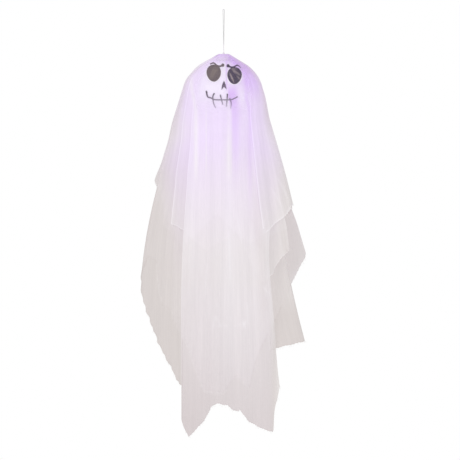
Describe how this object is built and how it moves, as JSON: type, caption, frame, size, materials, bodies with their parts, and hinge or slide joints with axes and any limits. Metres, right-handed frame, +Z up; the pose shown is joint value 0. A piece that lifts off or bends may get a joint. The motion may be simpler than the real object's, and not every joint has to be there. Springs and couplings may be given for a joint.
{
  "type": "light-up hanging ghost",
  "caption": "Hanging ghost decoration with a lit translucent head under sheer layered drapes, felt face, looped cord and battery case.",
  "frame": {"origin": "where the top of the cord loop rests on its hook", "axes": "+Z up along the cord; the face looks along -Y; +X is to the right of someone who faces the ghost"},
  "size_m": [0.3886, 0.2443, 1.0197],
  "materials": {
    "cord_fibre": "fine twisted fibre cord, pale grey",
    "zinc_steel": "zinc plated, satin",
    "frosted_plastic": "milky, frosted, lets light through",
    "white_plastic": "moulded, satin",
    "black_plastic": "moulded, satin",
    "board_laminate": "green solder mask over glass laminate",
    "lamp_epoxy": "clear tinted resin",
    "cell_jacket": "printed film over a steel can, no lettering",
    "dark_felt": "matt felt",
    "sheer_gauze": "sheer organza, fine threads, raw cut hems",
    "red_insulation": "satin insulation",
    "black_insulation": "satin insulation"
  },
  "bodies": {
    "hanger": {"hang_loop": "cord_fibre"},
    "knot": {"crown_knot": "cord_fibre"},
    "tail": {"cord_tail": "cord_fibre", "anchor_washer": "zinc_steel", "anchor_knot": "cord_fibre"},
    "ghost": {"crown_eyelet": "white_plastic", "hanger_cap": "white_plastic", "head_front_shell": "frosted_plastic", "head_back_shell": "frosted_plastic", "left_eye": "dark_felt", "right_eye": "dark_felt", "nose": "dark_felt", "mouth": "dark_felt", "side_drape": "sheer_gauze", "inner_veil": "sheer_gauze", "front_back_drape": "sheer_gauze", "outer_veil": "sheer_gauze", "lamp_collar": "white_plastic", "diffuser_dome": "frosted_plastic", "circuit_board": "board_laminate", "led_lamp_1": "lamp_epoxy", "led_lamp_2": "lamp_epoxy", "led_lamp_3": "lamp_epoxy", "board_screw_1": "zinc_steel", "board_screw_2": "zinc_steel", "board_screw_3": "zinc_steel", "battery_case": "white_plastic", "case_screw_1": "zinc_steel", "case_screw_2": "zinc_steel", "case_screw_3": "zinc_steel", "battery_cell_1": "cell_jacket", "battery_cell_2": "cell_jacket", "battery_cell_3": "cell_jacket", "positive_contact": "zinc_steel", "negative_contact": "zinc_steel", "contact_spring_1": "zinc_steel", "contact_spring_2": "zinc_steel", "contact_spring_3": "zinc_steel", "red_wire": "red_insulation", "black_wire": "black_insulation", "switch_body": "black_plastic", "door_pin": "zinc_steel"},
    "slider": {"switch_slider": "black_plastic"},
    "door": {"battery_door": "white_plastic"}
  },
  "joints": [
    {"name": "swing_side", "type": "hinge", "parent": "hanger", "child": "knot", "pos_m": [0, 0, -0.1042], "axis": [0, 1, 0], "range_deg": [-30, 30]},
    {"name": "swing_fore", "type": "hinge", "parent": "knot", "child": "tail", "pos_m": [0, 0, -0.1042], "axis": [1, 0, 0], "range_deg": [-30, 30]},
    {"name": "ghost_turn", "type": "hinge", "parent": "tail", "child": "ghost", "pos_m": [0, 0, -0.1042], "axis": [0, 0, 1], "range_deg": [-180, 180]},
    {"name": "switch_slide", "type": "slide", "parent": "ghost", "child": "slider", "axis": [1, 0, 0], "range_m": [0, 0.004]},
    {"name": "door_swing", "type": "hinge", "parent": "ghost", "child": "door", "pos_m": [0, 0.0364, -0.31073], "axis": [1, 0, 0], "range_deg": [0, 100]}
  ]
}
